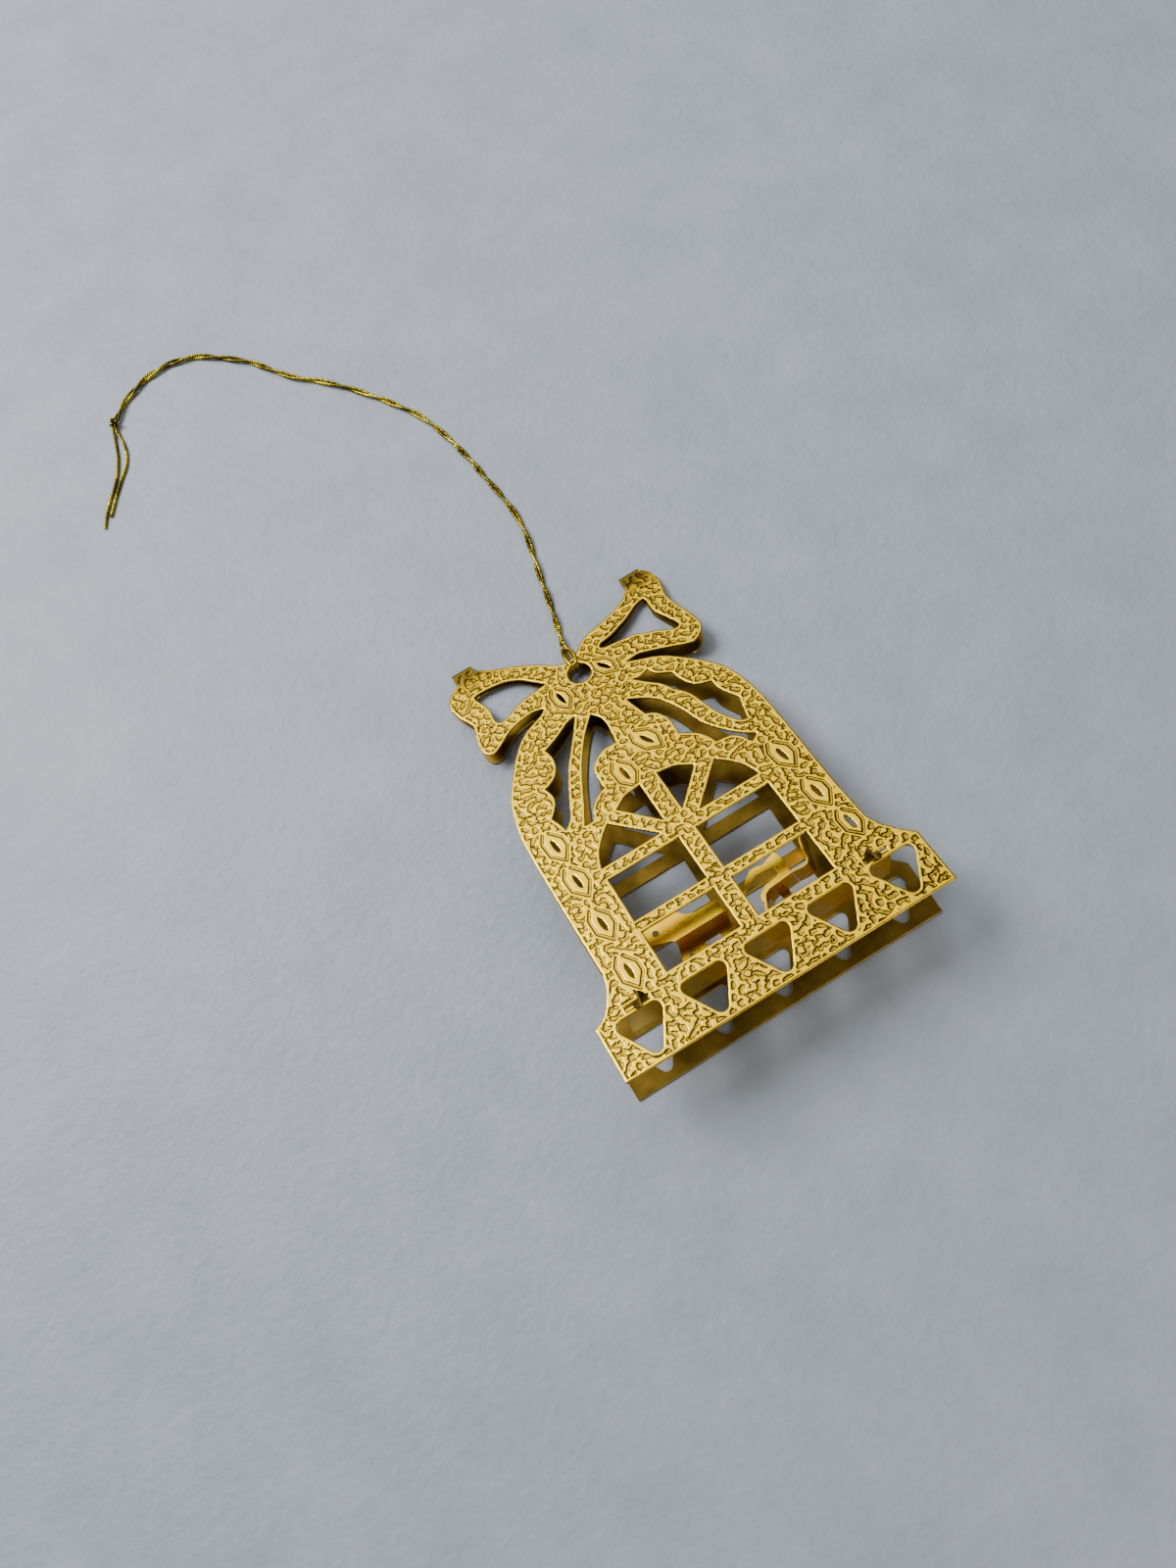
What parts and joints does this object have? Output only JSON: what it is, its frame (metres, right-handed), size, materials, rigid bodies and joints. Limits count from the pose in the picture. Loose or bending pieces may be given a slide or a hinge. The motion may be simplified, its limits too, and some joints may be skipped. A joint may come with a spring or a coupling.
{
  "type": "christmas ornament",
  "caption": "Folding bell of pierced and etched brass sheet with a bow, a clip for a miniature light between its two faces, and a doubled hanging cord.",
  "frame": {"origin": "middle of the bell's length and width, on the table under the back leaf; the cord and its knot are left out of that middle", "axes": "+Y from the flared base up to the bow and the hanging cord, +X to the right as the front face is seen, +Z from the back leaf up to the front leaf"},
  "size_m": [0.0795, 0.1527, 0.0149],
  "materials": {
    "etched_brass": "gold-lacquered sheet brass, photo-etched all over with a fine wandering pattern, plain polished rim",
    "plain_brass": "gold-lacquered sheet brass, smooth and reflective",
    "gilt_cord": "metallic gold thread, wrapped strands twisted together"
  },
  "bodies": {
    "back_leaf": {"back_plate": "etched_brass", "left_fold_strap": "etched_brass", "right_fold_strap": "etched_brass", "cord_loop": "gilt_cord", "cord_knot": "gilt_cord", "cord_tail_short": "gilt_cord", "cord_tail_long": "gilt_cord"},
    "front_leaf": {"front_plate": "etched_brass", "clip_shelf": "plain_brass", "left_twist_tab": "plain_brass", "right_twist_tab": "plain_brass", "cord_hitch": "gilt_cord"},
    "left_clip_jaw": {"left_jaw": "plain_brass"},
    "right_clip_jaw": {"right_jaw": "plain_brass"},
    "clip_finger": {"spring_finger": "plain_brass"}
  },
  "joints": [
    {"name": "leaf_fold", "type": "hinge", "parent": "back_leaf", "child": "front_leaf", "pos_m": [0, 0.0323, 0.0009], "axis": [-1, 0, 0], "range_deg": [-1.5, 8], "stiffness_Nm_per_rad": 0.6},
    {"name": "left_jaw_flex", "type": "hinge", "parent": "front_leaf", "child": "left_clip_jaw", "pos_m": [-0.0064, -0.02704, 0.0049], "axis": [1, 0, 0], "range_deg": [-3, 3], "stiffness_Nm_per_rad": 0.4},
    {"name": "right_jaw_flex", "type": "hinge", "parent": "front_leaf", "child": "right_clip_jaw", "pos_m": [0.0074, -0.02704, 0.0049], "axis": [1, 0, 0], "range_deg": [-3, 3], "stiffness_Nm_per_rad": 0.15},
    {"name": "finger_flex", "type": "hinge", "parent": "right_clip_jaw", "child": "clip_finger", "pos_m": [0.00958, -0.02095, 0.00578], "axis": [0, 0.2079, 0.9781], "range_deg": [-4, 4], "stiffness_Nm_per_rad": 0.3}
  ]
}
